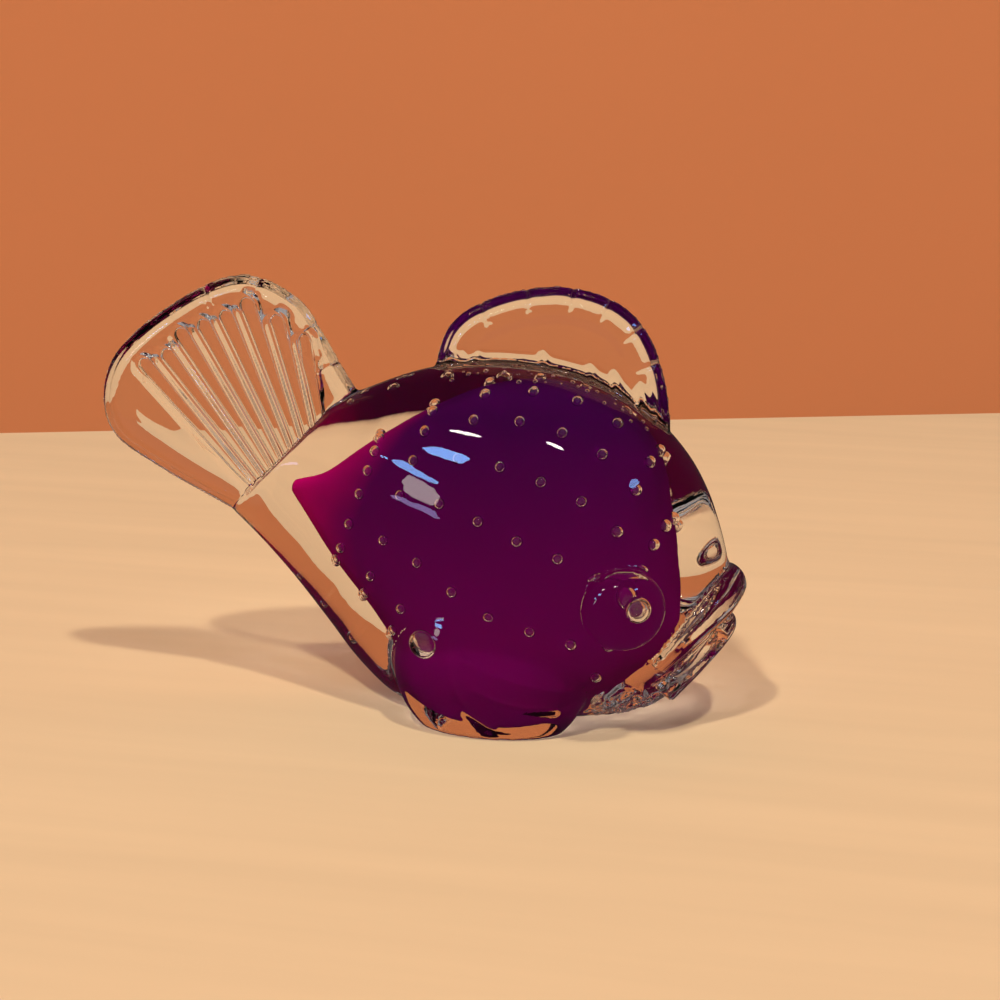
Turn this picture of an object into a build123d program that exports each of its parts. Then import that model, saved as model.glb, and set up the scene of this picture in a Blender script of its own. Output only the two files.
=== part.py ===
from build123d import *
from math import atan2, copysign, cos, pi, radians, sin
import os

# Solid glass fish: an amethyst core with pricked air bubbles, cased in clear glass, with clear bits
# applied hot for the fins, eyes and lips. It faces +X and stands on the ground flat of its belly, z = 0.

# Overall size, mm. Places in the XZ plane are shares of the length and the height.
figure_length = 130.0
figure_height = 84.5
body_width = 44.0

# Ground flat under the belly and the side fins
base_flat_z = 0.0
cut_overrun = 20.0

# The bodies are lofted through ovals in parallel planes that lean this share of the length forwards
# over the full height. A station is its foot on the ground, its bottom, its top and its width.
station_lean_share = 0.237
quarter_share = 0.5523

# Clear casing, tail stock to mouth. The tail is joined on a plane from belly to back.
casing_station_shares = (
    (-0.485, 0.523, 0.571, 0.140),
    (-0.415, 0.454, 0.620, 0.180),
    (-0.338, 0.371, 0.678, 0.245),
    (-0.262, 0.281, 0.739, 0.385),
    (-0.185, 0.182, 0.791, 0.563),
    (-0.108, 0.082, 0.816, 0.733),
    (-0.031, 0.007, 0.817, 0.880),
    (0.046, -0.017, 0.800, 0.971),
    (0.123, -0.019, 0.760, 1.000),
    (0.200, -0.016, 0.693, 0.971),
    (0.262, -0.009, 0.618, 0.872),
    (0.308, 0.004, 0.543, 0.752),
    (0.342, 0.020, 0.473, 0.625),
    (0.372, 0.051, 0.402, 0.473),
    (0.398, 0.085, 0.330, 0.300),
)
tail_joint_shares = ((-0.294, 0.434), (-0.104, 0.728))

# Amethyst core, rear tip to nose
core_station_shares = (
    (-0.307, 0.497, 0.523, 0.050),
    (-0.286, 0.471, 0.528, 0.080),
    (-0.250, 0.424, 0.547, 0.134),
    (-0.188, 0.344, 0.615, 0.265),
    (-0.123, 0.271, 0.671, 0.393),
    (-0.058, 0.190, 0.704, 0.501),
    (0.008, 0.100, 0.711, 0.580),
    (0.073, 0.035, 0.695, 0.618),
    (0.138, 0.022, 0.652, 0.611),
    (0.200, 0.028, 0.578, 0.556),
    (0.250, 0.095, 0.462, 0.448),
    (0.285, 0.150, 0.355, 0.318),
    (0.306, 0.185, 0.286, 0.173),
    (0.315, 0.208, 0.259, 0.079),
)

# Fullness of the core's lower half, and a lobe each side that swells towards the side fins
core_belly_share = 0.90
core_lobe_centre_shares = (0.137, 0.130)
core_lobe_spread = 6.5
core_lobe_half_length = 16.5
core_lobe_half_width = 7.5
core_lobe_half_height = 9.8
core_lobe_margin = 1.25

# Air bubbles pricked into the core, ring by ring
bubble_radius = 1.15
bubbles_per_ring = 16
bubble_rings = range(3, 11)

# Section of the rims of both fins: a long taper to the outer edge and a steep step to the web, as
# shares of the rim's radius
rim_outer_share = 2.3
rim_inner_share = 0.40

# Tail fan: middle line of its rim, and the ribs that run out from one point below the belly
tail_rim_radius = 2.7
tail_rim_turn_deg = 180.0
tail_web_thickness = 2.6
tail_rib_count = 9
tail_rib_root_width = 1.6
tail_rib_tip_width = 2.6
tail_rib_root_height = 5.4
tail_rib_tip_height = 5.0
tail_rib_first_deg = 138.3
tail_rib_last_deg = 101.8
tail_rib_root_reach = 31.0
tail_focus_shares = (-0.102, 0.213)
tail_rim_shares = (
    (-0.090, 0.675),
    (-0.130, 0.773),
    (-0.158, 0.847),
    (-0.196, 0.927),
    (-0.274, 0.967),
    (-0.381, 0.889),
    (-0.466, 0.772),
    (-0.475, 0.640),
    (-0.398, 0.553),
    (-0.283, 0.462),
    (-0.232, 0.408),
)

# Back fin: middle line of its rim, with crimps pressed across it
back_rim_radius = 2.6
back_rim_turn_deg = 0.0
back_web_thickness = 3.4
back_rim_shares = (
    (0.042, 0.748),
    (0.066, 0.876),
    (0.121, 0.934),
    (0.194, 0.962),
    (0.254, 0.956),
    (0.305, 0.921),
    (0.337, 0.856),
    (0.356, 0.761),
    (0.364, 0.650),
)
back_rib_count = 9
back_rib_width = 3.0
back_rib_root_height = 7.4
back_rib_tip_height = 4.4
back_rib_foot_shares = ((0.062, 0.775), (0.345, 0.655))
back_rib_head_shares = ((0.085, 0.870), (0.325, 0.850))
back_rib_crown_share = 0.085
crimp_count = 6
crimp_radius = 0.9
crimp_depth = 0.6
crimp_first_share = 0.22
crimp_last_share = 0.80

# Side fins: a cushion of glass pressed against each flank, with grooves that curve down and forwards.
# Each fin traps a large bubble against the flank.
side_fin_centre_shares = (0.137, 0.148)
side_fin_spread = 13.5
side_fin_half_length = 19.3
side_fin_half_width = 9.5
side_fin_half_height = 18.0
side_groove_radius = 1.5
side_groove_depth = 0.6
side_groove_shares = (
    ((0.086, 0.235), (0.086, 0.175), (0.095, 0.116), (0.114, 0.069), (0.146, 0.027)),
    ((0.112, 0.192), (0.167, 0.158), (0.211, 0.135), (0.249, 0.120)),
    ((0.126, 0.122), (0.157, 0.099), (0.196, 0.084), (0.241, 0.079)),
)
seat_bubble_radius = 2.9
seat_bubble_height = 1.4
seat_bubble_shares = (0.045, 0.207)

# Eyes: a clear bead pressed on each side over a trapped bubble for a pupil
eye_radius = 7.9
eye_fullness = 5.0
eye_lift = 0.8
eye_place_shares = (0.336, 0.328)
pupil_radius = 2.1
pupil_forward = 2.2

# Mouth: two lips, each pulled from cheek to cheek round the tip, with a slit between them that opens
# at the tip and in both cheeks
lip_corner_radius = 2.6
upper_lip_shares = ((0.378, 0.175), (0.465, 0.321))
upper_lip_half_width = 12.0
upper_lip_radius = 4.5
lower_lip_shares = ((0.388, 0.098), (0.465, 0.232))
lower_lip_half_width = 9.0
lower_lip_radius = 2.8
lip_sections = 9
slit_lean_deg = 47.0
slit_tip_shares = (0.488, 0.283)
slit_tip_reach = (5.0, 6.0, 1.1)
slit_cheek_shares = (0.440, 0.200)
slit_cheek_spread = 9.5
slit_cheek_reach = (7.5, 3.0, 1.4)


def place(shares):
    """The point of the middle plane at shares of the length and the height."""
    x_share, z_share = shares
    return Vector(x_share * figure_length, 0, z_share * figure_height)


def station(row):
    """Centre, direction up the plane, half height and half width of one station."""
    foot_share, bottom_share, top_share, width_share = row
    bottom, top = [
        place((foot_share + station_lean_share * height_share, height_share))
        for height_share in (bottom_share, top_share)
    ]
    half_width = width_share * body_width / 2
    return (top + bottom) / 2, (top - bottom).normalized(), (top - bottom).length / 2, half_width


def section_plane(centre, up):
    """Plane across the body: its x runs to +Y and its y up the section."""
    side = Vector(0, 1, 0)
    return Plane(origin=centre, x_dir=side, z_dir=side.cross(up))


def half_outline(row, lower_share):
    """Left half of the outline of one station, closed along the middle plane. The share gives the
    fullness of its lower half."""
    centre, up, half_height, half_width = station(row)
    rise = up * half_height
    spread = Vector(0, half_width, 0)
    bottom, side, top = centre - rise, centre + spread, centre + rise
    lower = Bezier(bottom, bottom + spread * lower_share, side - rise * lower_share, side)
    upper = Bezier(side, side + rise * quarter_share, top + spread * quarter_share, top)
    return Wire([lower, upper, Line(top, bottom)])


def body_through(rows, lower_share):
    """Smooth body through the outline of each row of stations, the same on both sides."""
    half = Solid.make_loft([half_outline(row, lower_share) for row in rows])
    return half + mirror(half, about=Plane.XZ)


def below_base():
    """Everything that the ground flat takes off."""
    reach = 2 * figure_length
    block = Box(reach, reach, cut_overrun, align=(Align.CENTER, Align.CENTER, Align.MAX))
    return Pos(0, 0, base_flat_z) * block


def behind_tail_joint():
    """Everything behind the plane that the tail is joined on."""
    belly, back = [place(pair) for pair in tail_joint_shares]
    reach = 2 * figure_length
    block = Box(reach, reach, reach, align=(Align.CENTER, Align.CENTER, Align.MAX))
    return section_plane((belly + back) / 2, (back - belly).normalized()).location * block


def along(start, end):
    """Location at start whose z points to end."""
    return Plane(origin=start, z_dir=end - start).location


def rib(foot, head, foot_width, head_width, foot_height, head_height):
    """Tapered rib in the middle plane, oval in section, that stands out of both faces of a fin."""
    way = (head - foot).normalized()
    sections = []
    for point, width, height in ((foot, foot_width, foot_height), (head, head_width, head_height)):
        across = Plane(origin=point, x_dir=(0, 1, 0), z_dir=way)
        sections.append(across * Ellipse(height / 2, width / 2))
    return loft(sections, ruled=True)


def rim_section(radius, turn_deg):
    """Egg-shaped section of a rim, its long taper up y before it is turned."""
    widest = radius * (1 - rim_outer_share)
    middle = (0, widest)
    taper = EllipticalCenterArc(middle, radius, radius * rim_outer_share, start_angle=0, arc_size=180)
    step = EllipticalCenterArc(middle, radius, radius * rim_inner_share, start_angle=180, arc_size=180)
    return Rot(0, 0, turn_deg) * make_face(Wire([taper, step]))


def fin_blank(shares, rim_radius, web_thickness, turn_deg):
    """Flat web inside a rim that follows the given line. Its ends lie inside the body."""
    line = Spline(*[place(pair) for pair in shares])
    outline = Wire([line, Line(line @ 1, line @ 0)])
    web = extrude(Face(outline), amount=web_thickness / 2, dir=(0, 1, 0), both=True)
    start = Plane(origin=line @ 0, x_dir=(0, 1, 0), z_dir=line % 0)
    rim = sweep(start * rim_section(rim_radius, turn_deg), path=line)
    return web + rim, line


def cushion(centre, way, reach):
    """Ellipsoid at a centre, with its half sizes along way, along Y and across both."""
    side = Vector(0, 1, 0)
    return Plane(origin=centre, x_dir=way, z_dir=way.cross(side)).location * scale(Sphere(1), by=reach)


def full_below(angle):
    """Shares of the half width and the half height of the core at an angle round its section."""
    spread, rise = cos(angle), sin(angle)
    if rise >= 0:
        return spread, rise
    step = atan2(-rise, abs(spread)) * 2 / pi
    rest = 1 - step
    middle = 3 * rest * step
    across = rest**3 + middle * rest + middle * step * core_belly_share
    down = middle * rest * core_belly_share + middle * step + step**3
    return copysign(across, spread), -down


def in_lobe(point):
    """True for a point inside a lobe of the core, or close to its face."""
    arm = point - place(core_lobe_centre_shares)
    shares = (
        arm.X / core_lobe_half_length,
        (abs(arm.Y) - core_lobe_spread) / core_lobe_half_width,
        arm.Z / core_lobe_half_height,
    )
    return sum(share**2 for share in shares) < core_lobe_margin


def make_core():
    """The amethyst core, and the same body before its bubbles are pricked."""
    reach = (core_lobe_half_length, core_lobe_half_width, core_lobe_half_height)
    blank = body_through(core_station_shares, core_belly_share)
    for side in (-1, 1):
        centre = place(core_lobe_centre_shares) + Vector(0, side * core_lobe_spread, 0)
        blank = blank + cushion(centre, Vector(1, 0, 0), reach)
    pricks = []
    for ring in bubble_rings:
        centre, up, half_height, half_width = station(core_station_shares[ring])
        for number in range(bubbles_per_ring):
            spread, rise = full_below(2 * pi * (number + 0.5) / bubbles_per_ring)
            point = centre + up * (half_height * rise) + Vector(0, half_width * spread, 0)
            out = up * (rise / half_height) + Vector(0, spread / half_width, 0)
            if not in_lobe(point):
                pricks.append(along(point, point + out) * Sphere(bubble_radius))
    return blank - pricks, blank


def mouth_slit():
    """What the slit of the mouth takes off: its tip and its end in each cheek."""
    way = Vector(cos(radians(slit_lean_deg)), 0, sin(radians(slit_lean_deg)))
    spread = Vector(0, slit_cheek_spread, 0)
    return [
        cushion(place(slit_tip_shares), way, slit_tip_reach),
        cushion(place(slit_cheek_shares) + spread, way, slit_cheek_reach),
        cushion(place(slit_cheek_shares) - spread, way, slit_cheek_reach),
    ]


def make_tail_fin(outer):
    """Ribbed fan pressed flat behind the tail stock."""
    blank, line = fin_blank(tail_rim_shares, tail_rim_radius, tail_web_thickness, tail_rim_turn_deg)
    focus = place(tail_focus_shares)
    step = (tail_rib_last_deg - tail_rib_first_deg) / (tail_rib_count - 1)
    ribs = []
    for number in range(tail_rib_count):
        angle = radians(tail_rib_first_deg + step * number)
        way = Vector(cos(angle), 0, sin(angle))
        far = Line(focus + way * tail_rib_root_reach, focus + way * figure_length)
        crossing = line.intersect(far)
        ribs.append(
            rib(
                focus + way * tail_rib_root_reach,
                crossing.vertices()[0].center(),
                tail_rib_root_width,
                tail_rib_tip_width,
                tail_rib_root_height,
                tail_rib_tip_height,
            )
        )
    return blank + ribs - outer


def make_back_fin(outer):
    """Ribbed crest with crimps pressed across both sides of its rim."""
    blank, line = fin_blank(back_rim_shares, back_rim_radius, back_web_thickness, back_rim_turn_deg)
    first_foot, last_foot = [place(pair) for pair in back_rib_foot_shares]
    first_head, last_head = [place(pair) for pair in back_rib_head_shares]
    ribs = []
    for number in range(back_rib_count):
        share = number / (back_rib_count - 1)
        crown = Vector(0, 0, back_rib_crown_share * figure_height * sin(pi * share))
        foot = first_foot + (last_foot - first_foot) * share
        head = first_head + (last_head - first_head) * share + crown
        ribs.append(
            rib(foot, head, back_rib_width, back_rib_width, back_rib_root_height, back_rib_tip_height)
        )
    crimps = []
    middle = place(back_rib_foot_shares[0]) * 0.5 + place(back_rib_foot_shares[1]) * 0.5
    for number in range(crimp_count):
        share = crimp_first_share + (crimp_last_share - crimp_first_share) * number / (crimp_count - 1)
        point = line @ share
        way = (point - middle).normalized()
        for side in (-1, 1):
            out = Vector(0, side * (back_rim_radius + crimp_radius - crimp_depth), 0)
            start = point + out - way * 2 * back_rim_radius
            press = Cylinder(
                crimp_radius, 4 * back_rim_radius, align=(Align.CENTER, Align.CENTER, Align.MIN)
            )
            crimps.append(along(start, start + way) * press)
    return blank + ribs - crimps - outer


def on_side_fin(shares):
    """Point where the middle of a groove's round tool passes over the left side fin."""
    point = place(shares)
    across = point - place(side_fin_centre_shares)
    length_share, height_share = across.X / side_fin_half_length, across.Z / side_fin_half_height
    rise = side_fin_half_width * (1 - length_share**2 - height_share**2) ** 0.5
    return point + Vector(0, side_fin_spread + rise + side_groove_radius - side_groove_depth, 0)


def make_side_fin(outer):
    """Left side fin (+Y): a grooved cushion pressed against the flank, over a large trapped bubble."""
    centre = place(side_fin_centre_shares) + Vector(0, side_fin_spread, 0)
    reach = (side_fin_half_length, side_fin_half_width, side_fin_half_height)
    grooves = []
    for shares in side_groove_shares:
        line = Spline(*[on_side_fin(pair) for pair in shares])
        grooves.append(sweep(Plane(origin=line @ 0, z_dir=line % 0) * Circle(side_groove_radius), path=line))
    seat, out = on_flank(outer, seat_bubble_shares)
    bubble = scale(Sphere(1), by=(seat_bubble_radius, seat_bubble_radius, seat_bubble_height))
    bubble = along(seat, seat + out) * bubble
    return cushion(centre, Vector(1, 0, 0), reach) - grooves - outer - bubble - below_base()


def on_flank(outer, shares):
    """Point of the left flank at shares of the length and the height, and the way out of it."""
    through = Axis(place(shares), (0, 1, 0))
    point, normal = max(outer.find_intersection_points(through), key=lambda hit: hit[0].Y)
    return point, normal if normal.Y > 0 else -normal


def make_eye(outer):
    """Left eye (+Y): a clear bead on the flank, with its bubble pupil against the casing."""
    seat, out = on_flank(outer, eye_place_shares)
    bead = along(seat + out * eye_lift, seat + out * (eye_lift + eye_fullness)) * scale(
        Sphere(1), by=(eye_radius, eye_radius, eye_fullness)
    )
    forward = Vector(0, 0, 1).cross(out).normalized()
    forward = forward if forward.X > 0 else -forward
    pupil = Pos(seat + forward * pupil_forward) * Sphere(pupil_radius)
    return bead - outer - pupil


def lip_blank(shares, half_width, middle_radius):
    """Round band of glass from cheek to cheek round the tip of the mouth, fullest at the tip."""
    cheek, tip = [place(pair) for pair in shares]
    reach, side = tip - cheek, Vector(0, half_width, 0)
    sections = []
    for number in range(lip_sections):
        angle = pi * number / (lip_sections - 1)
        point = cheek + reach * sin(angle) + side * cos(angle)
        way = reach * cos(angle) - side * sin(angle)
        radius = lip_corner_radius + (middle_radius - lip_corner_radius) * sin(angle) ** 2
        sections.append(Plane(origin=point, x_dir=reach.cross(side), z_dir=way) * Circle(radius))
    return loft(sections)


os.makedirs("parts", exist_ok=True)
outer_body = body_through(casing_station_shares, quarter_share) - behind_tail_joint() - below_base()
core, core_blank = make_core()
left_side_fin = make_side_fin(outer_body)
left_eye = make_eye(outer_body)
slit = mouth_slit()
upper_lip = lip_blank(upper_lip_shares, upper_lip_half_width, upper_lip_radius)
lower_lip = lip_blank(lower_lip_shares, lower_lip_half_width, lower_lip_radius)
nodes = {
    "core": core,
    "casing": outer_body - core_blank - slit,
    "tail_fin": make_tail_fin(outer_body),
    "dorsal_fin": make_back_fin(outer_body),
    "pectoral_fin_left": left_side_fin,
    "pectoral_fin_right": mirror(left_side_fin, about=Plane.XZ),
    "eye_left": left_eye,
    "eye_right": mirror(left_eye, about=Plane.XZ),
    "upper_lip": upper_lip - outer_body - slit,
    "lower_lip": lower_lip - outer_body - upper_lip - slit,
}
ends = (nodes["tail_fin"].bounding_box().min.X, nodes["upper_lip"].bounding_box().max.X)
centred = Pos(-sum(ends) / 2, 0, 0)
for name, shape in nodes.items():
    export_step(centred * shape, f"parts/{name}.step")
    print(name, len(shape.solids()), round(shape.volume))
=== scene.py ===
"""Solid glass fish: an amethyst core pricked with air bubbles, cased in clear glass, with clear bits
melted on for the fins, eyes and lips. Everything is in metres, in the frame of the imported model.

The glass is one melted mass. Each clear piece is first modelled as a closed blank, the blanks are
melted into one skin, and the skin is parted again, so that light crosses the welds unbroken."""

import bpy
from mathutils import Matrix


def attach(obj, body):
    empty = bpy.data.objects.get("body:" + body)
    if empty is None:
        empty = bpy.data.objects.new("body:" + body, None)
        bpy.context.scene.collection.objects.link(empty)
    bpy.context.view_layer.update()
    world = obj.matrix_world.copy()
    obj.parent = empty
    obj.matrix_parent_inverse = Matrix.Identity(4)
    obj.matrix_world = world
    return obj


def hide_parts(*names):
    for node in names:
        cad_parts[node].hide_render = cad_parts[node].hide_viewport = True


bl_info = {
    "name": "Glass fish figurine",
    "version": (1, 0, 0),
    "blender": (4, 5, 0),
    "location": "3D View > Sidebar > Glass fish",
    "description": "Builds a solid glass fish with a purple core round its packed construction",
    "category": "Add Mesh",
}

from math import atan2, cos, degrees, exp, hypot, pi, radians, sin

import bmesh
import bpy
from mathutils import Matrix, Quaternion, Vector, noise
from mathutils.bvhtree import BVHTree

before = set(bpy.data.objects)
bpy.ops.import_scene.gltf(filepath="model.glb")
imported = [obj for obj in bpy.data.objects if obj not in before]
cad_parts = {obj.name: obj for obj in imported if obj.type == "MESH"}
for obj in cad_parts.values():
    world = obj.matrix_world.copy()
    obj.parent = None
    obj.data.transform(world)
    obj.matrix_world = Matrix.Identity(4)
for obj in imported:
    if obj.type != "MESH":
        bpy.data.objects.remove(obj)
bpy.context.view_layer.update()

MM = 0.001
SIDE = Vector((0.0, 1.0, 0.0))
UP = Vector((0.0, 0.0, 1.0))

# Size of the figure that the shares below are taken of, and the shift that centres it
FIGURE_LENGTH = 130.0 * MM
FIGURE_HEIGHT = 84.5 * MM
BODY_WIDTH = 44.0 * MM
CENTRING = 0.1318 * MM

# Stations of the casing and the core: foot along the ground, bottom, top and width. Their planes
# lean this share of the length forwards over the full height.
STATION_LEAN_SHARE = 0.237
CASING_STATION_SHARES = (
    (-0.485, 0.523, 0.571, 0.140),
    (-0.415, 0.454, 0.620, 0.180),
    (-0.338, 0.371, 0.678, 0.245),
    (-0.262, 0.281, 0.739, 0.385),
    (-0.185, 0.182, 0.791, 0.563),
    (-0.108, 0.082, 0.816, 0.733),
    (-0.031, 0.007, 0.817, 0.880),
    (0.046, -0.017, 0.800, 0.971),
    (0.123, -0.019, 0.760, 1.000),
    (0.200, -0.016, 0.693, 0.971),
    (0.262, -0.009, 0.618, 0.872),
    (0.308, 0.004, 0.543, 0.752),
    (0.342, 0.020, 0.473, 0.625),
    (0.372, 0.051, 0.402, 0.473),
    (0.398, 0.085, 0.330, 0.300),
)
TAIL_JOINT_SHARES = ((-0.294, 0.434), (-0.104, 0.728))
CORE_STATION_SHARES = (
    (-0.307, 0.497, 0.523, 0.050),
    (-0.286, 0.471, 0.528, 0.080),
    (-0.250, 0.424, 0.547, 0.134),
    (-0.188, 0.344, 0.624, 0.265),
    (-0.123, 0.271, 0.689, 0.393),
    (-0.058, 0.190, 0.732, 0.501),
    (0.008, 0.100, 0.744, 0.580),
    (0.073, 0.035, 0.728, 0.618),
    (0.138, 0.022, 0.682, 0.611),
    (0.200, 0.028, 0.598, 0.556),
    (0.250, 0.095, 0.462, 0.448),
    (0.285, 0.150, 0.355, 0.318),
    (0.306, 0.185, 0.286, 0.173),
    (0.315, 0.208, 0.259, 0.079),
)
CORE_BELLY_SHARE = 0.90
CORE_LOBE_CENTRE_SHARES = (0.137, 0.130)
CORE_LOBE_SPREAD = 6.5 * MM
CORE_LOBE_REACH = (16.5 * MM, 7.5 * MM, 9.8 * MM)
CORE_LOBE_MARGIN = 1.25
BUBBLE_RINGS = range(3, 11)
BUBBLES_PER_RING = 16

# Tail fan: middle line of the rim, and the point that the ribs fan out from
TAIL_RIM_SHARES = (
    (-0.090, 0.675),
    (-0.130, 0.773),
    (-0.158, 0.847),
    (-0.196, 0.927),
    (-0.274, 0.967),
    (-0.381, 0.889),
    (-0.466, 0.772),
    (-0.475, 0.640),
    (-0.398, 0.553),
    (-0.283, 0.462),
    (-0.232, 0.408),
)
TAIL_RIM_RADIUS = 2.7 * MM
TAIL_WEB_THICKNESS = 4.9 * MM
TAIL_FOCUS_SHARES = (-0.102, 0.213)
TAIL_RIB_FIRST_DEG = 138.3
TAIL_RIB_LAST_DEG = 101.8
TAIL_RIB_ROOT_REACH = 31.0 * MM
TAIL_LANE_DEPTH = 1.25 * MM
TAIL_LANE_SLOPE_SHARE = 0.20
TAIL_LANE_FADE = 1.3 * MM
TAIL_LANE_END = 1.6 * MM
TAIL_LANE_ROUND = 2.4 * MM
TAIL_LANE_UNEVEN = 0.9 * MM
TAIL_LANE_TURN = 2.4
TAIL_CRIMP_SHARES = (0.12, 0.235, 0.37, 0.45)

# Section of both rims, as shares of the rim's radius: a long taper to the outer edge and a steep
# step to the web
RIM_OUTER_SHARE = 2.3
RIM_TAPER_POWER = 1.5
RIM_INNER_SHARE = 0.40

# Back fin: middle line of the rim, and the feet and heights of its folds
BACK_RIM_SHARES = (
    (0.042, 0.748),
    (0.066, 0.876),
    (0.121, 0.934),
    (0.194, 0.962),
    (0.254, 0.956),
    (0.305, 0.921),
    (0.337, 0.856),
    (0.356, 0.761),
    (0.364, 0.650),
)
BACK_RIM_RADIUS = 2.6 * MM
BACK_WEB_THICKNESS = 4.8 * MM
BACK_FOLD_FOOT_SHARES = ((0.062, 0.806), (0.345, 0.700))
BACK_FOLD_HEIGHT_SHARES = (0.3, 0.45, 0.35, 0.6, 1.0, 0.6, 0.95, 1.0, 0.8)
BACK_FOLD_HEIGHT = 9.5 * MM
BACK_FOLD_LEAN_DEG = 103.0
BACK_FOLD_RISE = 0.55 * MM
BACK_FOLD_WIDTH = 0.75 * MM
BACK_FOLD_FOOT_GAIN = 1.6
BACK_FOLD_FADE = 1.5
BACK_FLARE = 0.4 * MM
BACK_FLARE_REACH = 1.6 * MM
BACK_CRIMP_SHARES = (0.22, 0.336, 0.452, 0.568, 0.684, 0.80)

# Marks of both fins: crimps across the rim, where the faces count as flat, and the least half web
CRIMP_DEPTH = 0.2 * MM
CRIMP_WIDTH = 0.42 * MM
CRIMP_REACH = 3.6 * MM
CRIMP_FADE = 1.4 * MM
FACING_GAIN = 1.6
FACING_START = 0.3
LEAST_HALF_WEB = 0.3 * MM

# Side fins: a cushion each side, and the grooves pressed across it
SIDE_FIN_CENTRE_SHARES = (0.137, 0.148)
SIDE_FIN_SPREAD = 13.5 * MM
SIDE_FIN_REACH = (19.3 * MM, 9.5 * MM, 18.0 * MM)
SIDE_GROOVE_SHARES = (
    ((0.086, 0.235), (0.086, 0.175), (0.095, 0.116), (0.114, 0.069), (0.146, 0.027)),
    ((0.112, 0.192), (0.167, 0.158), (0.211, 0.135), (0.249, 0.120)),
    ((0.126, 0.122), (0.157, 0.099), (0.196, 0.084), (0.241, 0.079)),
)
SIDE_GROOVE_DEPTH = 0.55 * MM
SIDE_GROOVE_WIDTH = 0.9 * MM
SEAT_BUBBLE_SHARES = (0.045, 0.207)
SEAT_BUBBLE_RADIUS = 2.9 * MM
SEAT_BUBBLE_HEIGHT = 1.4 * MM

# Small bubbles caught along the weld of the back fin. Their depth and their radius go up and down
# by a share, each at its own pace.
SEED_COUNT = 64
SEED_LINE_SHARES = (0.055, 0.352)
SEED_SPREAD = 4.5 * MM
SEED_DEPTH = 1.9 * MM
SEED_RADIUS = 0.38 * MM
SEED_TURN = 2.4
SEED_DEPTH_WAVE = (0.45, 1.7)
SEED_RADIUS_WAVE = (0.4, 3.1)

# Groove along the welds of the eyes and the lips
WELD_DEPTH = 0.35 * MM
WELD_WIDTH = 0.55 * MM

# Eyes
EYE_RADIUS = 7.9 * MM
EYE_FULLNESS = 5.0 * MM
EYE_LIFT = 0.8 * MM
EYE_PLACE_SHARES = (0.336, 0.328)
PUPIL_RADIUS = 2.1 * MM
PUPIL_FORWARD = 2.2 * MM

# Lips: cheek and tip of the middle line, half width at the cheeks, and radius at the tip
LIP_CHEEK_RADIUS = 2.6 * MM
UPPER_LIP = (((0.378, 0.175), (0.465, 0.321)), 12.0 * MM, 4.5 * MM)
LOWER_LIP = (((0.388, 0.098), (0.465, 0.232)), 9.0 * MM, 2.8 * MM)

# Slit between the lips: place, spread and half sizes of its tip and of its end in each cheek
SLIT_LEAN_DEG = 47.0
SLIT_ENDS = (
    ((0.488, 0.283), 0.0 * MM, (5.0 * MM, 6.0 * MM, 1.1 * MM)),
    ((0.440, 0.200), 9.5 * MM, (7.5 * MM, 3.0 * MM, 1.4 * MM)),
    ((0.440, 0.200), -9.5 * MM, (7.5 * MM, 3.0 * MM, 1.4 * MM)),
)

# Meshing
BODY_RINGS = 90
BODY_SEGMENTS = 96
RIM_RINGS = 90
RIM_SEGMENTS = 24
LIP_RINGS = 40
LIP_SEGMENTS = 40
CUSHION_GRID = (96, 64)
BEAD_GRID = (48, 32)
BUBBLE_GRID = (16, 10)
SEED_GRID = (10, 7)
SHOULDER_ROUND = 2.6 * MM
SHOULDER_SEGMENTS = 5
SMOOTHING_FACTOR = 0.5
FINE_SMOOTHING = 4
BROAD_SMOOTHING = 45
BROAD_BAND = 1.6 * MM
BROAD_START = 0.25
BORDER_ROUNDS = 4
CORE_MELT_SIZE = 0.6 * MM
CORE_SMOOTHING = 8
WELD_REACH = 3.0 * MM

# Wrinkles left by the tool under the lower lip
CHIN_PLACE_SHARES = (0.345, 0.040)
CHIN_LENGTH = 11.0 * MM
CHIN_HEIGHT = 8.0 * MM
CHIN_SCALE = 3.2 * MM
CHIN_DEPTH = 0.8 * MM
CHIN_CREASE_GAIN = 2.0
CHIN_CREASE_LEVEL = 0.5
CHIN_FADE = 1.6

# Colour of the core: where it counts as thin for the painted glow of light shining through the thin
# glass, and as high for the painted navy reflection under the back, how its tip shifts the glow, and its
# cloud
CORE_GLOW_THICKNESS = (2.0 * MM, 18.0 * MM)
CORE_REFLECTION_HEIGHT = (18.0 * MM, 58.0 * MM)
CORE_GLOW_TIP_SHIFT = (0.4, 9.0 * MM)
CORE_CLOUD = {"Scale": 55.0, "Detail": 2.0}
CORE_CLOUD_SHIFT = 10.0 * MM
CORE_ROUGHNESS = 0.5

# Light that crosses unchanged, the ripple of the clear glass, and the grain of the floor and the wall
CLEAR = (1.0, 1.0, 1.0, 1.0)
RIPPLE = {"Scale": 95.0, "Detail": 1.5, "Roughness": 0.45}
FLOOR_GRAIN = ((6.0, 90.0, 1.0), 0.07)
WALL_GRAIN = ((3.0, 3.0, 3.0), 0.04)
GRAIN_DETAIL = 4.0
MATT_ROUGHNESS = 0.5


def colour_setting(name, description, default):
    """Setting that holds a colour."""
    return bpy.props.FloatVectorProperty(
        name=name, description=description, subtype="COLOR", size=4, min=0.0, max=1.0, default=default
    )


def length_setting(name, description, default, least=0.0):
    """Setting that holds a length."""
    return bpy.props.FloatProperty(
        name=name, description=description, default=default, min=least, unit="LENGTH", precision=5
    )


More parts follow.
